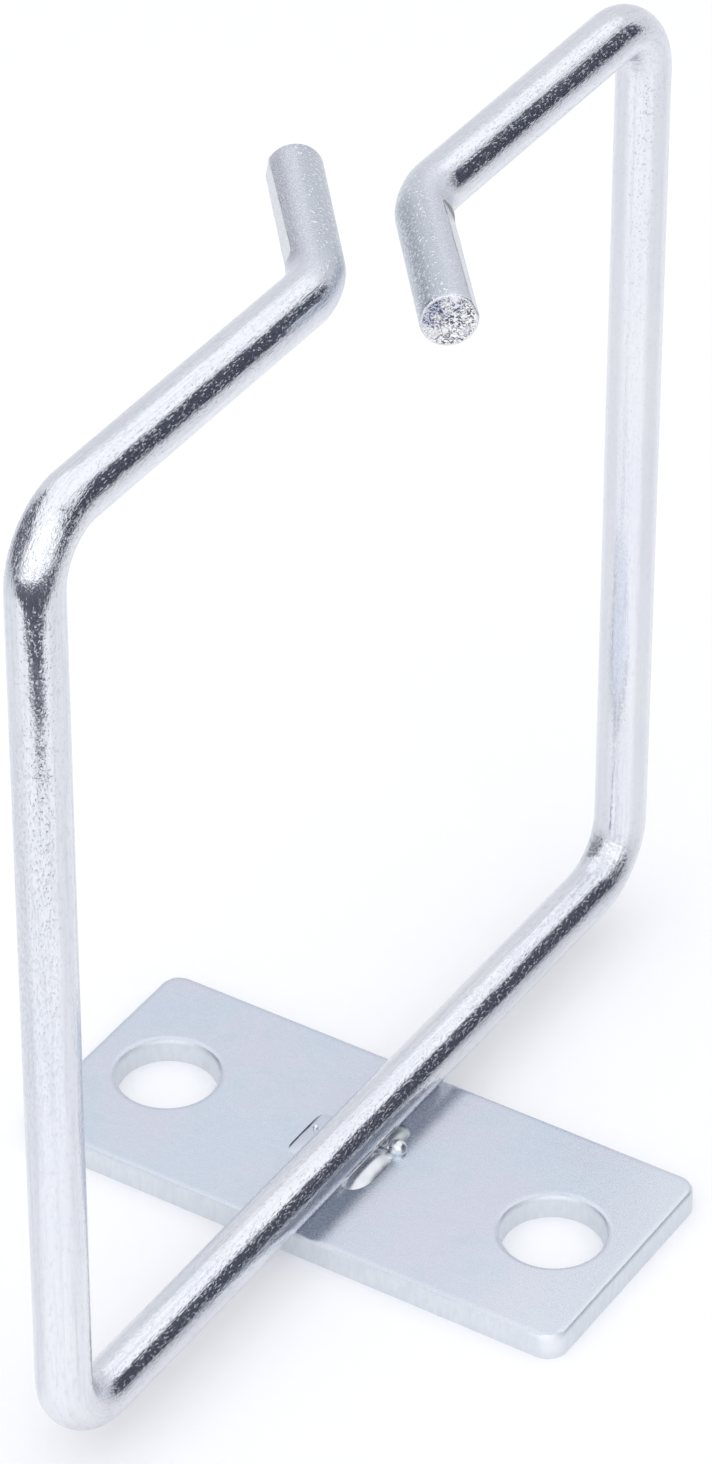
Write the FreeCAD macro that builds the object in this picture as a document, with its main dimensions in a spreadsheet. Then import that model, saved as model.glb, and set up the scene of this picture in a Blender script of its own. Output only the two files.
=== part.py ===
"""Cable hook: a steel wire bent into an open square ring, welded upright on a drilled plate.

Millimetres, +Z up. The origin is the centre of the plate's back, the face that goes against
the wall. X runs along the plate, Y along the wire's base run, Z away from the wall.
"""
import FreeCAD, Part
import math
import os

import Sketcher
from FreeCAD import Vector

doc = FreeCAD.newDocument("cable_hook")

# Driving dimensions
DIMENSIONS = [
    ("wire_diameter", 5.0),
    ("ring_width", 100.0),          # over the outsides of the two uprights
    ("ring_height", 100.0),         # over the outsides of the base run and the top runs
    ("corner_bend", 6.0),           # bend radius of the ring's corners, at the middle of the wire
    ("mouth_gap", 5.0),             # clear gap between the two turned ends
    ("mouth_offset", 2.0),          # the gap's middle lies this far along Y from the ring's middle
    ("end_angle", 39.0),            # degrees that each end is turned out of the ring's plane
    ("end_length", 18.8),           # turned end, from the corner of its centre line to the cut
    ("end_bend", 8.0),              # bend radius of the turned ends, at the middle of the wire
    ("plate_length", 58.0),
    ("plate_width", 26.0),
    ("plate_thickness", 2.5),
    ("plate_corner", 2.0),
    ("edge_round", 0.3),            # rolled-over upper edges of the plate and its holes
    ("hole_diameter", 9.5),
    ("hole_inset", 8.0),            # from the plate's end to the middle of the hole
    ("weld_root", 0.9),             # the beads stop this far from the wire's line of contact
    ("right_bead_length", 11.0),
    ("right_bead_height", 1.1),
    ("right_bead_reach", 0.9),      # on the plate, past the side of the wire
    ("left_bead_length", 10.0),
    ("left_bead_height", 1.0),
    ("left_bead_reach", 3.2),
    ("bubble_diameter", 1.8),       # round lobe near the far end of the right bead
    ("bubble_inset", 3.4),          # from the bead's far end to the middle of the lobe
]
sheet = doc.addObject("Spreadsheet::Sheet", "sizes")
for row, (name, size) in enumerate(DIMENSIONS, start=1):
    sheet.set(f"A{row}", name)
    sheet.set(f"B{row}", str(size))
    sheet.setAlias(f"B{row}", name)
doc.recompute()

# Lengths that follow from the driving dimensions
WIRE_RADIUS = "sizes.wire_diameter / 2"
UPRIGHT_AXIS = "(sizes.ring_width - sizes.wire_diameter) / 2"
BASE_AXIS = "sizes.plate_thickness + sizes.wire_diameter / 2"
TOP_AXIS = "sizes.plate_thickness + sizes.ring_height - sizes.wire_diameter / 2"
END_TANGENT = "sizes.end_bend * tan(sizes.end_angle * 0.5 deg)"
HALF_PITCH = "(sizes.mouth_gap + sizes.wire_diameter) / (2 * sin(sizes.end_angle * 1 deg))"
LEFT_RUN_END = f"{HALF_PITCH} + {END_TANGENT} - sizes.mouth_offset"
RIGHT_RUN_END = f"{HALF_PITCH} + {END_TANGENT} + sizes.mouth_offset"
END_STRAIGHT = f"sizes.end_length - {END_TANGENT}"

START, END, CENTRE = range(1, 4)    # the points of a sketched line or arc
X_AXIS, Y_AXIS = range(-1, -3, -1)  # a sketch's own axes
ORIGIN = (X_AXIS, START)
TOLERANCE = 1e-6


def value(expression):
    """The number that an expression on the driving dimensions gives."""
    result = sheet.evalExpression(expression)
    return float(getattr(result, "Value", result))


def new_sketch(body, name, plane, height=None):
    """A sketch on one of the body's own origin planes, or raised above it by an expression."""
    sketch = body.newObject("Sketcher::SketchObject", name)
    support = next(item for item in body.Origin.OriginFeatures if item.Role == plane)
    sketch.AttachmentSupport = (support, [""])
    sketch.MapMode = "FlatFace"
    if height:
        sketch.setExpression("AttachmentOffset.Base.z", height)
    return sketch


def line(sketch, start, end):
    return sketch.addGeometry(Part.LineSegment(Vector(*start), Vector(*end)))


def arc(sketch, centre, radius, first_degrees, last_degrees):
    whole = Part.Circle(Vector(*centre), Vector(0, 0, 1), radius)
    span = math.radians(first_degrees), math.radians(last_degrees)
    return sketch.addGeometry(Part.ArcOfCircle(whole, *span))


def circle(sketch, centre, diameter):
    """A circle whose diameter is bound to an expression."""
    whole = Part.Circle(Vector(*centre), Vector(0, 0, 1), value(diameter) / 2)
    index = sketch.addGeometry(whole)
    bind(sketch, "Diameter", (index,), diameter)
    return index


def fix(sketch, kind, *geometry):
    """Adds a constraint that has no size."""
    sketch.addConstraint(Sketcher.Constraint(kind, *geometry))


def bind(sketch, kind, geometry, expression):
    """Adds a constraint whose size is bound to an expression."""
    size = value(expression)
    if kind == "Angle":
        size = math.radians(size)
    index = sketch.addConstraint(Sketcher.Constraint(kind, *geometry, size))
    sketch.setExpression(f"Constraints[{index}]", expression)


def round_edges(body, name, base, radius, test):
    """Rounds those edges of a feature that pass a test."""
    fillet = body.newObject("PartDesign::Fillet", name)
    chosen = [f"Edge{number}" for number, edge in enumerate(base.Shape.Edges, start=1)
              if test(edge.BoundBox)]
    fillet.Base = (base, chosen)
    fillet.setExpression("Radius", radius)
    doc.recompute()
    return fillet


# Mounting plate: cut from flat strip, with two round holes on its long axis
plate = doc.addObject("PartDesign::Body", "mounting_plate")
plate.Label = "mounting_plate"

outline = new_sketch(plate, "plate_outline", "XY_Plane")
half_length = value("sizes.plate_length / 2")
half_width = value("sizes.plate_width / 2")
corners = [(-half_length, -half_width), (half_length, -half_width),
           (half_length, half_width), (-half_length, half_width)]
sides = [line(outline, corners[number], corners[(number + 1) % 4]) for number in range(4)]
for number, side in enumerate(sides):
    fix(outline, "Coincident", side, END, sides[(number + 1) % 4], START)
    fix(outline, ("Horizontal", "Vertical")[number % 2], side)
fix(outline, "Symmetric", sides[0], START, sides[2], START, *ORIGIN)
bind(outline, "DistanceX", (sides[0], START, sides[0], END), "sizes.plate_length")
bind(outline, "DistanceY", (sides[1], START, sides[1], END), "sizes.plate_width")

blank = plate.newObject("PartDesign::Pad", "plate_blank")
blank.Profile = outline
blank.setExpression("Length", "sizes.plate_thickness")
doc.recompute()
trimmed = round_edges(plate, "plate_corners", blank, "sizes.plate_corner",
                      lambda box: box.XLength + box.YLength < TOLERANCE)

hole_sketch = new_sketch(plate, "hole_circles", "XY_Plane")
for direction in (-1, 1):
    distance = f"{direction} * (sizes.plate_length / 2 - sizes.hole_inset)"
    hole = circle(hole_sketch, (value(distance), 0), "sizes.hole_diameter")
    fix(hole_sketch, "PointOnObject", hole, CENTRE, X_AXIS)
    bind(hole_sketch, "DistanceX", (*ORIGIN, hole, CENTRE), distance)
holes = plate.newObject("PartDesign::Pocket", "plate_holes")
holes.Profile = hole_sketch
holes.Type = "ThroughAll"
holes.Reversed = True
doc.recompute()
if holes.Shape.Volume > trimmed.Shape.Volume - TOLERANCE:
    raise RuntimeError("the plate's holes cut nothing")

plate_top = value("sizes.plate_thickness")
round_edges(plate, "plate_edges", holes, "sizes.edge_round",
            lambda box: box.ZMin > plate_top - TOLERANCE)

# Bent wire: one length of round wire, an open ring in the YZ plane with its ends turned sideways
wire = doc.addObject("PartDesign::Body", "bent_wire")
wire.Label = "bent_wire"

ring = new_sketch(wire, "ring_path", "YZ_Plane")
across, low, high = value(UPRIGHT_AXIS), value(BASE_AXIS), value(TOP_AXIS)
bend = value("sizes.corner_bend")
left_run = line(ring, (-value(LEFT_RUN_END), high), (bend - across, high))
left_shoulder = arc(ring, (bend - across, high - bend), bend, 90, 180)
left_upright = line(ring, (-across, high - bend), (-across, low + bend))
left_foot = arc(ring, (bend - across, low + bend), bend, 180, 270)
base_run = line(ring, (bend - across, low), (across - bend, low))
right_foot = arc(ring, (across - bend, low + bend), bend, 270, 360)
right_upright = line(ring, (across, low + bend), (across, high - bend))
right_shoulder = arc(ring, (across - bend, high - bend), bend, 0, 90)
right_run = line(ring, (across - bend, high), (value(RIGHT_RUN_END), high))

course = [left_run, left_shoulder, left_upright, left_foot, base_run,
          right_foot, right_upright, right_shoulder, right_run]
for before, after in zip(course[:-1], course[1:]):
    fix(ring, "Tangent", before, END, after, START)
for run in (left_run, base_run, right_run):
    fix(ring, "Horizontal", run)
for upright in (left_upright, right_upright):
    fix(ring, "Vertical", upright)
for corner in (left_shoulder, left_foot, right_foot, right_shoulder):
    bind(ring, "Radius", (corner,), "sizes.corner_bend")
bind(ring, "DistanceY", (*ORIGIN, base_run, START), BASE_AXIS)
bind(ring, "DistanceX", (left_upright, START, *ORIGIN), UPRIGHT_AXIS)
bind(ring, "DistanceX", (*ORIGIN, right_upright, START), UPRIGHT_AXIS)
bind(ring, "DistanceY", (*ORIGIN, left_run, START), TOP_AXIS)
bind(ring, "DistanceX", (left_run, START, *ORIGIN), LEFT_RUN_END)
bind(ring, "DistanceY", (*ORIGIN, right_run, END), TOP_AXIS)
bind(ring, "DistanceX", (*ORIGIN, right_run, END), RIGHT_RUN_END)


def wire_section(name, place):
    """The wire's round section where a top run ends, at this place along Y."""
    section = new_sketch(wire, name, "XZ_Plane", f"-({place})")
    rim = circle(section, (0, value(TOP_AXIS)), "sizes.wire_diameter")
    fix(section, "PointOnObject", rim, CENTRE, Y_AXIS)
    bind(section, "DistanceY", (*ORIGIN, rim, CENTRE), TOP_AXIS)
    return section


def turned_end_path(name, side, place):
    """Centre line of one turned end: the bend that leaves its top run, then the straight end."""
    path = new_sketch(wire, name, "XY_Plane", TOP_AXIS)
    radius, turn = value("sizes.end_bend"), value("sizes.end_angle")
    first = 180 if side > 0 else 0
    turning = arc(path, (side * radius, value(place)), radius, first, first + turn)
    bend_end = path.Geometry[turning].EndPoint
    heading = FreeCAD.Rotation(Vector(0, 0, 1), turn).multVec(Vector(0, -side, 0))
    tip = line(path, bend_end, bend_end + heading * value(END_STRAIGHT))
    fix(path, "Tangent", turning, END, tip, START)
    fix(path, "PointOnObject", turning, START, Y_AXIS)
    fix(path, "Horizontal", turning, START, turning, CENTRE)
    bind(path, "DistanceY", (*ORIGIN, turning, START), place)
    bind(path, "Radius", (turning,), "sizes.end_bend")
    bind(path, "Angle", (turning,), "sizes.end_angle * 1 deg")
    bind(path, "Distance", (tip,), END_STRAIGHT)
    return path


def wire_length(name, section, path):
    """A stretch of the wire: its section carried along a path."""
    stretch = wire.newObject("PartDesign::AdditivePipe", name)
    stretch.Profile = section
    stretch.Spine = (path, [])
    doc.recompute()


left_place, right_place = f"-({LEFT_RUN_END})", RIGHT_RUN_END
left_section = wire_section("left_section", left_place)
right_section = wire_section("right_section", right_place)
wire_length("ring_stretch", left_section, ring)
wire_length("left_end", left_section, turned_end_path("left_end_path", -1, left_place))
wire_length("right_end", right_section, turned_end_path("right_end_path", 1, right_place))

# Weld beads: steel melted into the corner between the wire and the plate, one on each side


def weld_lobe(name, side):
    """Half an egg of weld metal that lies on the plate and runs in under the wire."""
    toe = f"({WIRE_RADIUS} + sizes.{name}_reach)"
    lobe = doc.addObject("Part::Ellipsoid", f"{name}_lobe")
    lobe.Angle1 = 0
    lobe.setExpression("Radius1", f"sizes.{name}_height")
    lobe.setExpression("Radius2", f"({toe} - sizes.weld_root) / 2")
    lobe.setExpression("Radius3", f"sizes.{name}_length / 2")
    lobe.setExpression("Placement.Base.x", f"{side} * ({toe} + sizes.weld_root) / 2")
    lobe.setExpression("Placement.Base.z", "sizes.plate_thickness")
    return lobe


def weld_bead(label, metal):
    """The weld metal that lies outside the wire."""
    bead = doc.addObject("Part::Cut", label)
    bead.Label = label
    bead.Base = metal
    bead.Tool = wire
    doc.recompute()
    return bead


bubble = doc.addObject("Part::Sphere", "right_bead_bubble")
bubble.Angle1 = 0
bubble.setExpression("Radius", "sizes.bubble_diameter / 2")
bubble.setExpression("Placement.Base.x",
                     f"{WIRE_RADIUS} + sizes.right_bead_reach - sizes.bubble_diameter / 4")
bubble.setExpression("Placement.Base.y", "sizes.right_bead_length / 2 - sizes.bubble_inset")
bubble.setExpression("Placement.Base.z", "sizes.plate_thickness")
right_metal = doc.addObject("Part::Fuse", "right_bead_metal")
right_metal.Base = weld_lobe("right_bead", 1)
right_metal.Tool = bubble

right_bead = weld_bead("weld_bead_right", right_metal)
left_bead = weld_bead("weld_bead_left", weld_lobe("left_bead", -1))

# Every feature has to be sound before the pieces are written
doc.recompute()
for item in doc.Objects:
    if "Invalid" in item.State or "Error" in item.State:
        raise RuntimeError(f"{item.Label} failed: {item.State}")
pieces = [plate, wire, right_bead, left_bead]
for piece in pieces:
    if piece.Shape.isNull() or not piece.Shape.isValid() or len(piece.Shape.Solids) != 1:
        raise RuntimeError(f"{piece.Label} is not one sound solid")

os.makedirs("parts", exist_ok=True)
for piece in pieces:
    piece.Shape.exportStep(f"parts/{piece.Label}.step")
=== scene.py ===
"""Looks of the cable hook: an open square ring of zinc plated wire, welded upright on a drilled plate.

Metres, in the frame of the CAD part: the plate's back lies on z = 0, the plate runs along X and the
ring stands in the YZ plane. Shapes are worked in millimetres and brought to metres when they are done.
"""
import math

import bmesh
import bpy
from mathutils import Matrix, Vector, noise


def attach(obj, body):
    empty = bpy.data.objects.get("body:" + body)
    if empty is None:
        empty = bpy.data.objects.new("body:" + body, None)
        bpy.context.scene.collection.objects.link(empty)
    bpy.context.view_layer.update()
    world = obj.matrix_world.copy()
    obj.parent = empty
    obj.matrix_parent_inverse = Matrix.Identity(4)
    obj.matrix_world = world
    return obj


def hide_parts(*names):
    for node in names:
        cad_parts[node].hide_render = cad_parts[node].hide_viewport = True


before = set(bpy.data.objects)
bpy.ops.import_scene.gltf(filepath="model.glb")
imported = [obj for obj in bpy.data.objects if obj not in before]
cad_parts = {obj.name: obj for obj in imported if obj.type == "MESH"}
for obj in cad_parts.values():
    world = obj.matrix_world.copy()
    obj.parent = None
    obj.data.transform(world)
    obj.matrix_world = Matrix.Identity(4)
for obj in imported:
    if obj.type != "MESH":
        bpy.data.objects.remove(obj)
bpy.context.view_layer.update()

# Mounting plate: a length of flat steel strip, sheared off and punched with two round holes.
# Shears and punch roll the upper edges over and leave torn walls below, and one corner was struck later.
# It is plated together with the wire after welding, and on rolled strip the zinc dries to a satin blue grey.
PLATE_TOP = 2.5
PLATE_HALF_LENGTH = 29.0
PLATE_HALF_WIDTH = 13.0
PLATE_CORNER = 2.0
HOLE_RADIUS = 4.75
HOLE_PLACE = 21.0
RIM_STRIP = 0.8
ROLLED_EDGE = 0.45
PUNCHED_EDGE = 0.65
WAVER_WIDTH = 0.5
WAVER_SHARE = 0.0022
STRUCK_WIDTH = 0.44
STRUCK_SHARE = 0.28
SHARP = math.radians(42)
NEAR = 0.1

SATIN_COLD = (0.700, 0.750, 0.810, 1)
SATIN_WARM = (0.758, 0.745, 0.802, 1)
DULL_BLOTCH = (0.665, 0.730, 0.780, 1)
FROSTED = (0.815, 0.830, 0.865, 1)
PALE_END = (0.870, 0.885, 0.895, 1)
SHEARED_GREY_AND_PAINTED_LIGHT = (0.815, 0.838, 0.853, 1)
SHEARED_PALE_AND_PAINTED_LIGHT = (0.900, 0.905, 0.910, 1)
CORNER_PAINTED_HIGHLIGHT = (0.985, 0.985, 0.990, 1)
BLUE_VEIL = (0.41, 0.52, 0.67, 1)


class Layer:
    """A socket of a finish. Sums on it add Math nodes, and node() adds a node of any other kind."""

    def __init__(self, tree, socket=None):
        self.tree = tree
        self.socket = socket

    def node(self, kind, settings, inputs, output=0):
        made = self.tree.nodes.new(kind)
        for name, setting in settings.items():
            setattr(made, name, setting)
        for name, source in inputs.items():
            if isinstance(source, Layer):
                self.tree.links.new(source.socket, made.inputs[name])
            else:
                made.inputs[name].default_value = source
        return Layer(self.tree, made.outputs[output] if len(made.outputs) else None)

    def sum(self, operation, *terms):
        return self.node("ShaderNodeMath", {"operation": operation}, dict(enumerate(terms)))

    def __add__(self, other):
        return self.sum("ADD", self, other)

    def __sub__(self, other):
        return self.sum("SUBTRACT", self, other)

    def __rsub__(self, other):
        return self.sum("SUBTRACT", other, self)

    def __mul__(self, other):
        return self.sum("MULTIPLY", self, other)

    __radd__ = __add__
    __rmul__ = __mul__

    def between(self, low, high):
        """0 below low, 1 above high, and a smooth rise from one to the other."""
        return self.node("ShaderNodeMapRange", {"interpolation_type": "SMOOTHSTEP"},
                         {"Value": self, "From Min": low, "From Max": high})

    def band(self, low, high, rise, fall):
        """1 between low and high, with a smooth rise before low and a smooth fall after high."""
        return self.between(low - rise, low) * (1 - self.between(high, high + fall))

    def axis(self, name):
        """One axis of this place in the finish."""
        return self.node("ShaderNodeSeparateXYZ", {}, {0: self}, name)

    def distance(self, point):
        """How far this place in the finish is from a point."""
        return self.node("ShaderNodeVectorMath", {"operation": "DISTANCE"}, {0: self, 1: point}, "Value")

    def grain(self, per_metre, detail, roughness):
        """Noise on this place in the finish, of so many grains to the metre."""
        return self.node("ShaderNodeTexNoise", {}, {"Vector": self, "Scale": per_metre, "Detail": detail,
                                                    "Roughness": roughness})

    def stretched(self, scale):
        """This place in the finish, with each of its axes scaled."""
        return self.node("ShaderNodeMapping", {}, {"Vector": self, "Scale": scale})

    def blended(self, first, second):
        """The first colour where this is 0 and the second where it is 1."""
        return self.node("ShaderNodeMix", {"data_type": "RGBA"}, {0: self, 6: first, 7: second}, 2)


def start_finish(name):
    """A new material with no nodes yet."""
    material = bpy.data.materials.new(name)
    material.use_nodes = True
    material.node_tree.nodes.clear()
    return material, Layer(material.node_tree)


def end_finish(layer, settings, haze=None):
    """Closes a finish with its shader. A hazy one has a share of a second shader, with some settings changed."""
    shader = layer.node("ShaderNodeBsdfPrincipled", {}, settings)
    if haze:
        share, changes = haze
        dull = layer.node("ShaderNodeBsdfPrincipled", {}, {**settings, **changes})
        shader = layer.node("ShaderNodeMixShader", {}, {0: share, 1: shader, 2: dull})
    layer.node("ShaderNodeOutputMaterial", {}, {"Surface": shader})


def make_piece(shape, name, node, finish):
    """Turns a shape in millimetres into a piece that stands for a CAD node."""
    bmesh.ops.scale(shape, vec=Vector((0.001, 0.001, 0.001)), verts=shape.verts)
    mesh = bpy.data.meshes.new(name)
    shape.to_mesh(mesh)
    shape.free()
    mesh.shade_smooth()
    mesh.set_sharp_from_angle(angle=SHARP)
    mesh.materials.append(finish)
    piece = bpy.data.objects.new(name, mesh)
    bpy.context.scene.collection.objects.link(piece)
    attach(piece, "root")
    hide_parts(node)


# Half of the top, from the middle to one sheared end, with its hole; then the other half and the thickness.
plate = bmesh.new()
half = bmesh.ops.create_grid(plate, x_segments=1, y_segments=1, size=1.0)["verts"]
bmesh.ops.scale(plate, vec=Vector((PLATE_HALF_LENGTH / 2, PLATE_HALF_WIDTH, 1)), verts=half)
bmesh.ops.translate(plate, vec=Vector((PLATE_HALF_LENGTH / 2, 0, PLATE_TOP)), verts=half)
end_corners = [vert for vert in half if vert.co.x > PLATE_HALF_LENGTH / 2]
bmesh.ops.bevel(plate, geom=end_corners, offset=PLATE_CORNER, segments=10, profile=0.5, affect="VERTICES",
                material=-1)
bmesh.ops.delete(plate, geom=plate.faces[:], context="FACES_ONLY")
straight_edges = [edge for edge in plate.edges if edge.calc_length() > PLATE_CORNER]
bmesh.ops.subdivide_edges(plate, edges=straight_edges, cuts=30)
bmesh.ops.create_circle(plate, segments=96, radius=HOLE_RADIUS,
                        matrix=Matrix.Translation((HOLE_PLACE, 0, PLATE_TOP)))
bmesh.ops.bridge_loops(plate, edges=plate.edges[:])
bmesh.ops.mirror(plate, geom=plate.verts[:] + plate.edges[:] + plate.faces[:], axis="X", merge_dist=0.001)
bmesh.ops.recalc_face_normals(plate, faces=plate.faces[:])
bmesh.ops.inset_region(plate, faces=plate.faces[:], thickness=RIM_STRIP, use_boundary=True, use_even_offset=True)
extruded = bmesh.ops.extrude_face_region(plate, geom=plate.faces[:])["geom"]
back = [item for item in extruded if isinstance(item, bmesh.types.BMVert)]
bmesh.ops.translate(plate, vec=Vector((0, 0, -PLATE_TOP)), verts=back)
bmesh.ops.recalc_face_normals(plate, faces=plate.faces[:])

# The upper edges that the punch and the shears rolled over.
rims = [edge for edge in plate.edges
        if min(vert.co.z for vert in edge.verts) > PLATE_TOP - NEAR and edge.calc_face_angle(0) > SHARP]
punched = [edge for edge in rims
           if math.hypot(abs(edge.verts[0].co.x) - HOLE_PLACE, edge.verts[0].co.y) < HOLE_RADIUS + NEAR]
sheared = [edge for edge in rims if edge not in punched]
bmesh.ops.bevel(plate, geom=sheared, offset=ROLLED_EDGE, segments=5, profile=0.5, affect="EDGES", material=-1)
punched = [edge for edge in punched if edge.is_valid]
bmesh.ops.bevel(plate, geom=punched, offset=PUNCHED_EDGE, segments=6, profile=0.5, affect="EDGES", material=-1)

# The sheared walls waver a little above the back, and the near right corner is struck down.
struck_centre = Vector((PLATE_HALF_LENGTH - PLATE_CORNER, PLATE_CORNER - PLATE_HALF_WIDTH))
struck_from = PLATE_CORNER - STRUCK_WIDTH
for vert in plate.verts:
    past_wall = max(abs(vert.co.x) - PLATE_HALF_LENGTH, abs(vert.co.y) - PLATE_HALF_WIDTH)
    if past_wall > -WAVER_WIDTH and vert.co.z > NEAR:
        waver = noise.noise(vert.co * 0.55) * 0.5 + noise.noise(vert.co * 1.7) * 0.25
        vert.co.xy *= 1 - WAVER_SHARE * (0.5 + waver)
    corner = vert.co.xy - struck_centre
    if corner.x > 0 > corner.y and corner.length > struck_from:
        towards_corner = 2 * abs(corner.x * corner.y) / corner.length_squared
        vert.co.z *= 1 - STRUCK_SHARE * towards_corner * (corner.length - struck_from) / STRUCK_WIDTH

plate_finish, zinc = start_finish("plate_zinc_finish")
place = zinc.node("ShaderNodeTexCoord", {}, {}, "Object")
flat_face = zinc.node("ShaderNodeTexCoord", {}, {}, "Normal").axis("Z").between(0.55, 0.95)
clouds = place.grain(per_metre=110.0, detail=5.0, roughness=0.6)
blotches = place.grain(per_metre=330.0, detail=3.0, roughness=0.6)
speckle = place.grain(per_metre=1800.0, detail=4.0, roughness=0.7)
rolling = place.stretched((0.04, 1.0, 1.0)).grain(per_metre=2400.0, detail=3.0, roughness=0.6)
shear_marks = place.stretched((1.0, 1.0, 0.3)).grain(per_metre=2200.0, detail=4.0, roughness=0.6)
towards_right_end = place.axis("X").between(0.014, 0.029)
# A painted highlight on the struck corner.
at_painted_corner_highlight = 1 - place.distance((0.0283, -0.0123, 0.0019)).between(0.0005, 0.0019)

tint = clouds.between(0.36, 0.64).blended(SATIN_COLD, SATIN_WARM)
tint = (blotches.between(0.50, 0.72) * 0.6).blended(tint, DULL_BLOTCH)
tint = (speckle.between(0.44, 0.70) * 0.36).blended(tint, FROSTED)
tint = (towards_right_end * 0.7).blended(tint, PALE_END)
# The walls and rolled edges are paler than the top: shear marks, and painted light on the sides.
wall_tint_and_painted_light = shear_marks.between(0.30, 0.70).blended(SHEARED_GREY_AND_PAINTED_LIGHT, SHEARED_PALE_AND_PAINTED_LIGHT)
wall_tint_and_painted_light = (at_painted_corner_highlight * 0.9).blended(wall_tint_and_painted_light, CORNER_PAINTED_HIGHLIGHT)
relief = flat_face * (speckle * 0.9 + rolling * 0.3) + (1 - flat_face) * shear_marks * 0.6
end_finish(zinc, {
    "Base Color": flat_face.blended(wall_tint_and_painted_light, tint),
    "Metallic": 0.45 + 0.49 * flat_face,
    "Roughness": 0.20 + 0.14 * speckle + 0.16 * (1 - flat_face),
    "Normal": zinc.node("ShaderNodeBump", {}, {"Height": relief, "Strength": 0.20, "Distance": 0.00003}),
}, haze=(0.22, {"Base Color": BLUE_VEIL, "Metallic": 0.0, "Roughness": 0.6}))
make_piece(plate, "zinc_plated_plate", "mounting_plate", plate_finish)

# Bent wire: one length of drawn steel wire, bent cold into an open square ring.
# The bends are slightly flattened and wrinkled. The ends were cropped in a shear and bent sideways over a
# die, which left a tilted flat along each of them. Drawing leaves fine lines along the bright zinc.
WIRE_RADIUS = 2.5
WIRE_SIDES = 96
RING_SIDE = 47.5
BASE_HEIGHT = 5.0
TOP_HEIGHT = 100.0
CORNER_BEND = 6.0
CORNER_FLATTENING = 0.045
END_BEND = 8.0
END_FLATTENING = 0.03
END_TURN = math.radians(39.0)
END_STRAIGHT = 15.967
LEFT_RUN_END = -8.778
RIGHT_RUN_END = 12.778
ROLLED_RIM = 0.34
TORN_SHARE = 0.88
FIRST_SECTION = 0.25
DIE_STOP = 0.3
DIE_DEPTH_AT_TIP = 0.14
DIE_DEPTH_AT_BEND = 0.33
LEFT_DIE_TILT = math.radians(9.0)
RIGHT_DIE_TILT = math.radians(24.0)

BRIGHT_COLD = (0.846, 0.862, 0.903, 1)
BRIGHT_WARM = (0.876, 0.882, 0.909, 1)
DRAWN_STREAK = (0.750, 0.778, 0.830, 1)
DRAWN_STRAND = (0.735, 0.760, 0.805, 1)
MOTTLED = (0.680, 0.712, 0.765, 1)
SAND_AND_PAINTED_REFLECTION = (0.610, 0.640, 0.690, 1)
MATT_GREY = (0.690, 0.720, 0.785, 1)
MATT_PALE = (0.850, 0.860, 0.905, 1)
UNPRESSED_PAINTED_SHADE = (0.540, 0.595, 0.660, 1)
DIE_FLAT = (0.930, 0.935, 0.960, 1)
DIE_LINE = (0.230, 0.210, 0.200, 1)
WHITE_DOT_PAINTED_GLINT = (0.980, 0.985, 1.0, 1)
TORN_WHITE = (0.985, 0.985, 0.985, 1)
TORN_BLUE = (0.400, 0.450, 0.700, 1)
CREASE_PAINTED_SHADE = (0.060, 0.070, 0.130, 1)

UP = Vector((0, 0, 1))
ALONG = Vector((0, 1, 0))
SIDEWAYS = Vector((math.sin(END_TURN), -math.cos(END_TURN), 0))
ACROSS_MOUTH = Vector((math.cos(END_TURN), math.sin(END_TURN), 0))
LEFT_PIN = Vector((-END_BEND, LEFT_RUN_END, TOP_HEIGHT))
RIGHT_PIN = Vector((END_BEND, RIGHT_RUN_END, TOP_HEIGHT))
LEFT_TIP = LEFT_PIN + ACROSS_MOUTH * END_BEND - SIDEWAYS * END_STRAIGHT

wire = bmesh.new()
drawn = wire.verts.layers.float_vector.new("drawn")
torn = wire.verts.layers.float.new("torn")
bent = wire.verts.layers.float.new("bent")
pressed_flat = wire.verts.layers.float.new("pressed_flat")


def rim_of(geometry):
    """The edges and the vertices of the open rim among these parts of the wire."""
    edges = [item for item in geometry if isinstance(item, bmesh.types.BMEdge) and item.is_boundary]
    return edges, list(dict.fromkeys(vert for edge in edges for vert in edge.verts))


def middle_of(verts):
    """The middle of these vertices, the same in whatever order they come."""
    return Vector([math.fsum(vert.co[axis] for vert in verts) / len(verts) for axis in range(3)])


def in_sections(length, count):
    """A length of wire in even sections."""
    return [length / count] * count


def run_wire(edges, heading, lengths):
    """Carries the wire on in a straight line, one section after each of the lengths."""
    for length in lengths:
        edges, verts = rim_of(bmesh.ops.extrude_edge_only(wire, edges=edges)["geom"])
        bmesh.ops.translate(wire, vec=heading * length, verts=verts)
        for vert in verts:
            vert[drawn] = vert[drawn] + Vector((0, 0, length))
    return edges


def bend_wire(edges, centre, axis, angle, radius, flattening, steps):
    """Carries the wire on round a bend, whose outside is a little flattened."""
    squeeze = 1.0
    for step in range(1, steps + 1):
        turned = bmesh.ops.spin(wire, geom=edges, cent=centre, axis=axis, angle=angle / steps, steps=1,
                                dvec=Vector())
        edges, verts = rim_of(turned["geom_last"])
        middle = middle_of(verts)
        outward = (middle - centre).normalized()
        aim = 1 - flattening * math.sin(math.pi * step / steps) ** 2
        for vert in verts:
            across = (vert.co - middle).dot(outward)
            vert.co += outward * across * (aim / squeeze - 1)
            vert[drawn] = vert[drawn] + Vector((0, 0, radius * abs(angle) / steps))
            vert[bent] = math.sin(math.pi * step / steps)
        squeeze = aim
    return edges


def bend_end(edges, pin, turn):
    """Turns an end sideways round a pin of the die."""
    return bend_wire(edges, pin, UP, turn, END_BEND, END_FLATTENING, steps=14)


def bend_corner(edges, side, height):
    """One of the four square corners of the ring."""
    return bend_wire(edges, Vector((0, side, height)), Vector((1, 0, 0)), math.pi / 2, CORNER_BEND,
                     CORNER_FLATTENING, steps=24)


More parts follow.
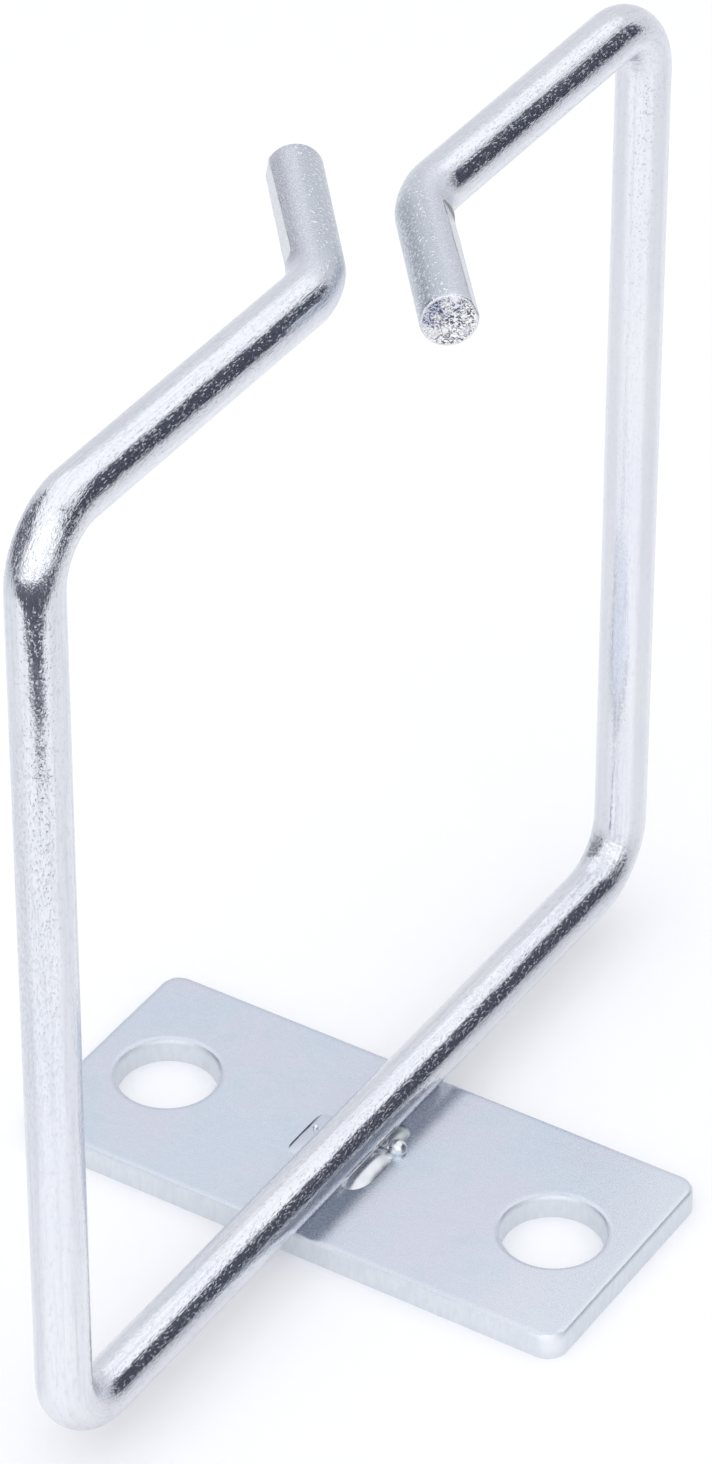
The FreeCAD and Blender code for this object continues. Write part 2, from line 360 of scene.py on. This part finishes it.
def press_flat(tip, die_side, tilt, verts, flat_length):
    """Presses the die's flat into the inner side of a turned end, deeper towards the bend."""
    inward = die_side * math.cos(tilt) + UP * math.sin(tilt)
    for vert in verts:
        share = abs((vert.co - tip).dot(SIDEWAYS)) / flat_length
        depth = DIE_DEPTH_AT_TIP + (DIE_DEPTH_AT_BEND - DIE_DEPTH_AT_TIP) * share
        proud = (vert.co - tip).dot(inward) - (WIRE_RADIUS - depth)
        if proud > 0:
            vert.co -= inward * proud
            vert[pressed_flat] = 1.0


def crop_end(edges, outward, seed):
    """Closes a cropped end: a rim that the shear rolled over, round a torn and creased face."""
    middle = middle_of(rim_of(edges)[1])
    rolled_rings = [(0.985, 0.16), (0.955, 0.25), (0.915, 0.30)]
    face_rings = [(TORN_SHARE - 0.04 * count, 0.30) for count in range(21)]
    shrink = 1.0
    for reach, rise in rolled_rings + face_rings:
        edges, verts = rim_of(bmesh.ops.extrude_edge_only(wire, edges=edges)["geom"])
        torn_here = 1 - max(0.0, min(1.0, (reach - TORN_SHARE) / 0.1))
        for vert in verts:
            offset = vert.co - middle
            offset -= outward * offset.dot(outward)
            spot = middle + offset * (reach / shrink)
            crinkle = noise.noise(spot * 0.9 + seed) * 0.07 + noise.noise(spot * 2.4 + seed) * 0.04
            crease = max(0.0, 1 - 8 * abs(noise.noise(spot * 1.3 - seed)))
            crease = max(crease, 0.8 - 9 * abs(noise.noise(spot * 2.1 + seed * 2)))
            vert.co = spot + outward * (rise + torn_here * (crinkle - 0.07 * crease - 0.03))
            vert[torn] = torn_here
            vert[pressed_flat] = 0.0
            vert[drawn] = Vector((vert[drawn].x * reach / shrink, vert[drawn].y * reach / shrink, vert[drawn].z))
        shrink = reach
    bmesh.ops.contextual_create(wire, geom=edges)


# From the left tip round the ring to the right tip, as the wire goes through the bending tool.
start = bmesh.ops.create_circle(wire, segments=WIRE_SIDES, radius=WIRE_RADIUS)["verts"]
for vert in start:
    vert[drawn] = vert.co
tip_frame = Matrix((UP, SIDEWAYS.cross(UP), SIDEWAYS)).transposed().to_4x4()
bmesh.ops.transform(wire, matrix=Matrix.Translation(LEFT_TIP + SIDEWAYS * ROLLED_RIM) @ tip_frame, verts=start)
first_rim = wire.edges[:]
low_bend, high_bend = BASE_HEIGHT + CORNER_BEND, TOP_HEIGHT - CORNER_BEND
side_bend = RING_SIDE - CORNER_BEND
upright = in_sections(high_bend - low_bend, 40)
end_run = in_sections(END_STRAIGHT - ROLLED_RIM - FIRST_SECTION, 24)

rim = run_wire(first_rim, SIDEWAYS, end_run + [FIRST_SECTION])
rim = bend_end(rim, LEFT_PIN, -END_TURN)
rim = run_wire(rim, -ALONG, in_sections(side_bend + LEFT_RUN_END, 16))
rim = bend_corner(rim, -side_bend, high_bend)
rim = run_wire(rim, -UP, upright)
rim = bend_corner(rim, -side_bend, low_bend)
rim = run_wire(rim, ALONG, in_sections(2 * side_bend, 40))
rim = bend_corner(rim, side_bend, low_bend)
rim = run_wire(rim, UP, upright)
rim = bend_corner(rim, side_bend, high_bend)
rim = run_wire(rim, -ALONG, in_sections(side_bend - RIGHT_RUN_END, 14))
rim = bend_end(rim, RIGHT_PIN, END_TURN)
last_rim = run_wire(rim, SIDEWAYS, [FIRST_SECTION] + end_run)

flat_length = END_STRAIGHT - ROLLED_RIM - DIE_STOP
length_drawn = max(vert[drawn].z for vert in wire.verts)
left_end = [vert for vert in wire.verts if vert[drawn].z < flat_length]
right_end = [vert for vert in wire.verts if vert[drawn].z > length_drawn - flat_length]
right_tip = middle_of(rim_of(last_rim)[1])
press_flat(LEFT_TIP, -ACROSS_MOUTH, LEFT_DIE_TILT, left_end, flat_length)
press_flat(right_tip, ACROSS_MOUTH, RIGHT_DIE_TILT, right_end, flat_length)
crop_end(first_rim, -SIDEWAYS, seed=Vector((3.1, 7.7, 1.3)))
crop_end(last_rim, SIDEWAYS, seed=Vector((5.2, 0.4, 9.6)))
bmesh.ops.recalc_face_normals(wire, faces=wire.faces[:])
for vert in wire.verts:
    vert[drawn] = vert[drawn] * 0.001

# Where on the straightened wire: along it, and up, down or sideways from its middle.
wire_finish, zinc = start_finish("wire_zinc_finish")
place = zinc.node("ShaderNodeAttribute", {"attribute_name": "drawn"}, {}, "Vector")
torn_face = zinc.node("ShaderNodeAttribute", {"attribute_name": "torn"}, {}, "Fac")
bend = zinc.node("ShaderNodeAttribute", {"attribute_name": "bent"}, {}, "Fac")
flat = zinc.node("ShaderNodeAttribute", {"attribute_name": "pressed_flat"}, {}, "Fac")
upward, sideward, along = place.axis("X"), place.axis("Y"), place.axis("Z")
worked_ends = 1 - along.band(0.023, 0.368, rise=0.008, fall=0.008)
far_half = along.between(0.19, 0.20)
side = sideward.between(-0.0004, 0.0004)
die_side = far_half * (1 - side) + (1 - far_half) * side
die_edge = (flat * (1 - flat) * 4).between(0.35, 0.85)
# A band down one face of the left upright: pitted grain, darkened as a painted dark reflection.
sand_and_painted_reflection = along.band(0.082, 0.100, rise=0.012, fall=0.030) * upward.between(0.0008, 0.0021)
marked = 1 - 0.6 * along.band(0.256, 0.323, rise=0.012, fall=0.012)

# Marks of drawing, plating, bending and cropping, with painted shade and painted glints on the cropped
# ends and a painted dark reflection down one face of the left upright.
clouds = place.grain(per_metre=60.0, detail=2.0, roughness=0.5)
streaks = place.stretched((1.0, 1.0, 0.03)).grain(per_metre=1700.0, detail=4.0, roughness=0.6)
strands = place.stretched((1.0, 1.0, 0.025)).grain(per_metre=3600.0, detail=3.0, roughness=0.65)
mottle = place.stretched((1.0, 1.0, 0.45)).grain(per_metre=2600.0, detail=3.0, roughness=0.65)
swell = place.stretched((1.0, 1.0, 0.35)).grain(per_metre=420.0, detail=2.0, roughness=0.5)
pits = place.stretched((1.0, 1.0, 0.38)).grain(per_metre=5600.0, detail=2.0, roughness=0.6)
peel = place.grain(per_metre=5000.0, detail=2.0, roughness=0.6).between(0.47, 0.62)
sparkle = place.grain(per_metre=6500.0, detail=2.0, roughness=0.6)
dots = place.grain(per_metre=3400.0, detail=2.0, roughness=0.5).between(0.555, 0.63) * (1 - die_side)
wrinkles = zinc.sum("SINE", along * 5200.0 + swell * 16.0) * bend.between(0.45, 1.0)
wrinkles = wrinkles * (1 - upward.between(-0.0024, -0.0010)) * (1 - worked_ends)
crumple = place.stretched((1.0, 0.6, 1.0)).grain(per_metre=1750.0, detail=3.0, roughness=0.6)
patches = place.grain(per_metre=900.0, detail=2.0, roughness=0.5)
creases = crumple.band(0.425, 0.445, rise=0.025, fall=0.025) + crumple.band(0.555, 0.580, rise=0.025, fall=0.025)
creases = creases * (0.35 + 0.65 * patches.between(0.36, 0.54))
bruise = patches.between(0.40, 0.60) * (upward + sideward).between(-0.0006, 0.0020)

tint = clouds.between(0.35, 0.65).blended(BRIGHT_COLD, BRIGHT_WARM)
tint = (streaks.between(0.50, 0.68) * 0.8 * marked).blended(tint, DRAWN_STREAK)
tint = (strands.between(0.48, 0.66) * 0.55 * marked).blended(tint, DRAWN_STRAND)
tint = (mottle.between(0.50, 0.70) * 0.55 * marked).blended(tint, MOTTLED)
tint = (pits.between(0.46, 0.60) * 0.55 * sand_and_painted_reflection).blended(tint, SAND_AND_PAINTED_REFLECTION)
matt = sparkle.between(0.42, 0.66).blended(MATT_GREY, MATT_PALE)
# The half of each cropped end away from the die flat is darkened with painted shade.
matt = ((1 - die_side) * 0.50).blended(matt, UNPRESSED_PAINTED_SHADE)
matt = (flat * 0.7).blended(matt, DIE_FLAT)
matt = (die_edge * (0.45 + 0.35 * far_half)).blended(matt, DIE_LINE)
# The white dots are bumps, and their white is a painted glint.
tint = worked_ends.blended(tint, dots.blended(matt, WHITE_DOT_PAINTED_GLINT))
tint = torn_face.between(0.02, 0.30).blended(tint, TORN_WHITE)
inside_rim = torn_face.between(0.6, 0.9)
tint = (inside_rim * bruise * 0.62).blended(tint, TORN_BLUE)
# The creases of the torn end faces are darkened with painted shade.
tint = (inside_rim * creases).blended(tint, CREASE_PAINTED_SHADE)

beads = (pits.between(0.55, 0.72) * 1.4 + pits * 1.3) * (0.85 + 0.30 * bend) + peel * 1.2 * bend
relief = streaks * 2.0 + strands * 1.6 + swell * 7.0 + wrinkles * 0.9
relief = relief + beads * (1 - worked_ends) + (sparkle * 6.0 + dots * 6.0) * worked_ends
relief = relief - creases * 5.0 * torn_face
end_finish(zinc, {
    "Base Color": tint,
    "Metallic": 1.0 - 0.85 * torn_face,
    "Roughness": 0.07 + 0.07 * streaks + 0.13 * worked_ends,
    "Normal": zinc.node("ShaderNodeBump", {}, {"Height": relief, "Strength": 1.0, "Distance": 0.00001}),
}, haze=(0.07, {"Roughness": 0.5}))
make_piece(wire, "zinc_plated_wire", "bent_wire", wire_finish)

# Weld beads: steel melted into the corner between wire and plate, one bead on each side.
# The right one froze smooth, in two lobes with a round drop between them. The left one ran out flat over
# the plate and spat one small drop. Where it meets the plate along its outer edge, a thin dark line of painted
# shade stands for the crease, and the drop is paler with a painted highlight.
WELD_SINK = 0.05
MOLTEN_PALE = (0.840, 0.858, 0.885, 1)
MOLTEN_GREY = (0.700, 0.745, 0.770, 1)
TAIL_GREY = (0.560, 0.620, 0.630, 1)
SPREAD_COLD = (0.680, 0.735, 0.815, 1)
SPREAD_WARM = (0.720, 0.745, 0.820, 1)
TOE_PAINTED_SHADE = (0.090, 0.100, 0.130, 1)
DROP_PAINTED_HIGHLIGHT = (0.975, 0.978, 0.985, 1)

weld_finish, zinc = start_finish("weld_zinc_finish")
place = zinc.node("ShaderNodeTexCoord", {}, {}, "Object")
across, along = place.axis("X"), place.axis("Y")
ripples = place.stretched((1.0, 0.5, 1.0)).grain(per_metre=700.0, detail=3.0, roughness=0.5)
soot = place.grain(per_metre=420.0, detail=3.0, roughness=0.6)
tail = along.between(0.0022, 0.0032) * across.between(0, 0.001)
left_spread = 1 - across.between(-0.001, 0.001)
# A thin dark line of painted shade along the left bead's outer edge, where it meets the plate.
toe_painted_shade = 1 - (across + 0.0004 * soot).between(-0.00540, -0.00522)
toe_painted_shade = toe_painted_shade * along.band(-0.0026, 0.0006, rise=0.0008, fall=0.0036)
# The small drop on the left bead is paler: a painted highlight.
drop_painted_highlight = 1 - place.distance((-0.00480, 0.0004, 0.00285)).between(0.00030, 0.00045)

tint = soot.between(0.45, 0.75).blended(MOLTEN_PALE, MOLTEN_GREY)
tint = (tail * 0.8).blended(tint, TAIL_GREY)
tint = left_spread.blended(tint, soot.between(0.40, 0.70).blended(SPREAD_COLD, SPREAD_WARM))
tint = toe_painted_shade.blended(tint, TOE_PAINTED_SHADE)
tint = drop_painted_highlight.blended(tint, DROP_PAINTED_HIGHLIGHT)
end_finish(zinc, {
    "Base Color": tint,
    "Metallic": 1.0,
    "Roughness": 0.16 + 0.12 * soot + 0.10 * tail + 0.18 * left_spread,
    "Normal": zinc.node("ShaderNodeBump", {}, {"Height": ripples, "Strength": 0.4, "Distance": 0.00005}),
}, haze=(0.25, {"Roughness": 0.5}))


def pour_lobe(bead, centre, half_sizes, squareness, unevenness):
    """Adds a lobe of weld metal: an egg, a little uneven, whose outline on the plate is more or less square."""
    lobe = bmesh.ops.create_icosphere(bead, subdivisions=5, radius=1.0)["verts"]
    for vert in lobe:
        lump = noise.noise(Vector((vert.co.x, vert.co.y * 2.2, vert.co.z)) * 1.4 + centre)
        across, along = abs(vert.co.x), abs(vert.co.y)
        outline = (across ** squareness + along ** squareness) ** (1 / squareness)
        vert.co.xy *= math.hypot(across, along) / max(outline, 0.001)
        vert.co *= 1 - unevenness * (0.5 + 0.5 * lump)
    bmesh.ops.scale(bead, vec=half_sizes, verts=lobe)
    bmesh.ops.translate(bead, vec=centre, verts=lobe)


def set_bead(bead, name, node):
    """Cuts a bead off just below the plate's top and puts it in place."""
    bmesh.ops.bisect_plane(bead, geom=bead.verts[:] + bead.edges[:] + bead.faces[:],
                           plane_co=Vector((0, 0, PLATE_TOP - WELD_SINK)), plane_no=UP, clear_inner=True)
    bmesh.ops.holes_fill(bead, edges=[edge for edge in bead.edges if edge.is_boundary])
    bmesh.ops.recalc_face_normals(bead, faces=bead.faces[:])
    make_piece(bead, name, node, weld_finish)


right_bead = bmesh.new()
pour_lobe(right_bead, centre=Vector((1.45, -1.6, PLATE_TOP - 1.6)), half_sizes=Vector((3.00, 5.0, 2.42)),
          squareness=2.4, unevenness=0.04)
pour_lobe(right_bead, centre=Vector((1.40, 3.3, PLATE_TOP - 1.6)), half_sizes=Vector((2.50, 3.1, 2.25)),
          squareness=2.2, unevenness=0.04)
pour_lobe(right_bead, centre=Vector((3.15, 2.0, PLATE_TOP + 0.3)), half_sizes=Vector((0.86, 0.86, 0.86)),
          squareness=2.0, unevenness=0.02)
set_bead(right_bead, "right_weld", "weld_bead_right")
left_bead = bmesh.new()
pour_lobe(left_bead, centre=Vector((-3.00, -0.3, PLATE_TOP - 2.2)), half_sizes=Vector((5.50, 6.4, 2.56)),
          squareness=8.0, unevenness=0.01)
pour_lobe(left_bead, centre=Vector((-4.80, 0.4, PLATE_TOP + 0.30)), half_sizes=Vector((0.30, 0.30, 0.28)),
          squareness=2.0, unevenness=0.02)
set_bead(left_bead, "left_weld", "weld_bead_left")

# Studio: a white table in a pale room, with one soft box overhead and one beside the camera. The wire
# mirrors dark cards on the right and in front, a grey one on the left and a dark rail above, and no
# card is seen or throws a shadow. Where metal mirrors the table, the table shines and shows the cards too.
PAPER_GREY = (0.955, 0.955, 0.960, 1)
PAPER_WHITE = (0.975, 0.975, 0.975, 1)
DARK_CARD = (0.035, 0.042, 0.070, 1)
GREY_CARD = (0.110, 0.118, 0.150, 1)
PALE_ROOM = (0.760, 0.772, 0.812, 1)
WHITE_WATTS = 4

table_finish, paper = start_finish("white_table_finish")
fibres = paper.node("ShaderNodeTexCoord", {}, {}, "Object").grain(per_metre=900.0, detail=3.0, roughness=0.5)
end_finish(paper, {
    "Base Color": fibres.between(0.2, 0.8).blended(PAPER_GREY, PAPER_WHITE),
    "Roughness": 0.85,
    "Specular IOR Level": 0.2,
    "Coat Weight": paper.node("ShaderNodeLightPath", {}, {}, "Is Glossy Ray"),
    "Coat Roughness": 0.15,
    "Coat IOR": 2.0,
    "Emission Color": 0.05 * paper.node("ShaderNodeLightPath", {}, {}, "Is Camera Ray"),
    "Emission Strength": 1.0,
})
dark_finish, paint = start_finish("dark_card_finish")
end_finish(paint, {"Base Color": DARK_CARD, "Roughness": 0.8})
grey_finish, paint = start_finish("grey_card_finish")
end_finish(paint, {"Base Color": GREY_CARD, "Roughness": 0.8})


def stage_sheet(name, matrix, width, height, finish):
    """A flat sheet of the studio, which isn't part of the hook."""
    shape = bmesh.new()
    bmesh.ops.create_grid(shape, x_segments=1, y_segments=1, size=0.5)
    bmesh.ops.scale(shape, vec=Vector((width, height, 1)), verts=shape.verts)
    bmesh.ops.transform(shape, matrix=matrix, verts=shape.verts)
    mesh = bpy.data.meshes.new(name)
    shape.to_mesh(mesh)
    shape.free()
    mesh.materials.append(finish)
    sheet = bpy.data.objects.new(name, mesh)
    bpy.context.scene.collection.objects.link(sheet)
    return sheet


def mirrored_card(name, matrix, width, height, finish):
    """A card that shows only where metal mirrors it."""
    card = stage_sheet(name, matrix, width, height, finish)
    card.visible_camera = card.visible_diffuse = card.visible_shadow = False


def direction(azimuth, elevation):
    """From the hook towards a place in the room: degrees from +X towards +Y, and above the table."""
    turn, rise = math.radians(azimuth), math.radians(elevation)
    return Vector((math.cos(turn) * math.cos(rise), math.sin(turn) * math.cos(rise), math.sin(rise)))


def facing(azimuth, elevation, distance):
    """Where a sheet stands that faces the hook from this direction."""
    aim = direction(azimuth, elevation)
    return Matrix.Translation(aim * distance) @ aim.to_track_quat("Z", "Y").to_matrix().to_4x4()


def standing(azimuth, distance, height):
    """Where an upright card stands that rests on the table."""
    return Matrix.Translation((0, 0, height / 2)) @ facing(azimuth, 0, distance)


def hang_light(name, azimuth, elevation, distance, shape, width, height, brightness):
    """A soft box that faces the hook. Its brightness adds to the room's, where 1 is white."""
    lamp = bpy.data.lights.new(name, "AREA")
    lamp.shape = shape
    lamp.size, lamp.size_y = width, height
    lamp.energy = brightness * WHITE_WATTS * width * height
    box = bpy.data.objects.new(name, lamp)
    box.matrix_world = facing(azimuth, elevation, distance)
    box.visible_camera = False
    bpy.context.scene.collection.objects.link(box)


stage_sheet("white_table", Matrix.Identity(4), width=8.0, height=8.0, finish=table_finish)
mirrored_card("right_card", standing(azimuth=26, distance=0.80, height=0.72), width=1.12, height=0.72,
              finish=dark_finish)
mirrored_card("left_card", standing(azimuth=-158, distance=0.80, height=0.80), width=1.05, height=0.80,
              finish=grey_finish)
front_place = (Matrix.Translation((0, 0, 0.001)) @ Matrix.Rotation(math.radians(32), 4, "Z")
               @ Matrix.Translation((0, -0.85, 0)))
mirrored_card("front_card", front_place, width=3.0, height=1.4, finish=dark_finish)
rail_start, rail_end = direction(azimuth=-30, elevation=67), direction(azimuth=0, elevation=45)
rail_aim = (rail_start + rail_end).normalized()
rail_side = rail_aim.cross(rail_end - rail_start).normalized()
rail_frame = Matrix((rail_side.cross(rail_aim), rail_side, rail_aim)).transposed().to_4x4()
mirrored_card("dark_rail", Matrix.Translation(rail_aim * 0.7) @ rail_frame, width=0.42, height=0.045,
              finish=dark_finish)
hang_light("overhead_soft_box", azimuth=90, elevation=86, distance=1.20, shape="ELLIPSE", width=2.5, height=2.5,
           brightness=0.20)
hang_light("front_soft_box", azimuth=-67, elevation=31, distance=0.90, shape="RECTANGLE", width=1.55, height=0.85,
           brightness=0.42)

room = bpy.data.worlds.new("pale_room")
room.use_nodes = True
room.node_tree.nodes["Background"].inputs["Color"].default_value = PALE_ROOM
room.node_tree.nodes["Background"].inputs["Strength"].default_value = 1.0
bpy.context.scene.world = room
bpy.context.scene.view_settings.view_transform = "Standard"

# Camera: a long lens at the photograph's angle, held level, with no shift and no depth of field.
# It stands where the outline of the ring and the plate fits the photograph best.
RING_MIDDLE = Vector((0, 0, 0.045))
MIDDLE_FROM_LENS = Vector((0.138, -4.457, -561.4)) * 0.001
VIEW_AZIMUTH = math.radians(32.246)
VIEW_ELEVATION = math.radians(36.639)

lens = bpy.data.cameras.new("camera")
lens.lens = 156.61
lens.sensor_width = 36.0
camera = bpy.data.objects.new("camera", lens)
bpy.context.scene.collection.objects.link(camera)
backward = Vector((math.sin(VIEW_AZIMUTH) * math.cos(VIEW_ELEVATION),
                   -math.cos(VIEW_AZIMUTH) * math.cos(VIEW_ELEVATION), math.sin(VIEW_ELEVATION)))
camera.rotation_mode = "QUATERNION"
camera.rotation_quaternion = backward.to_track_quat("Z", "Y")
camera.location = RING_MIDDLE - camera.rotation_quaternion @ MIDDLE_FROM_LENS
bpy.context.scene.camera = camera
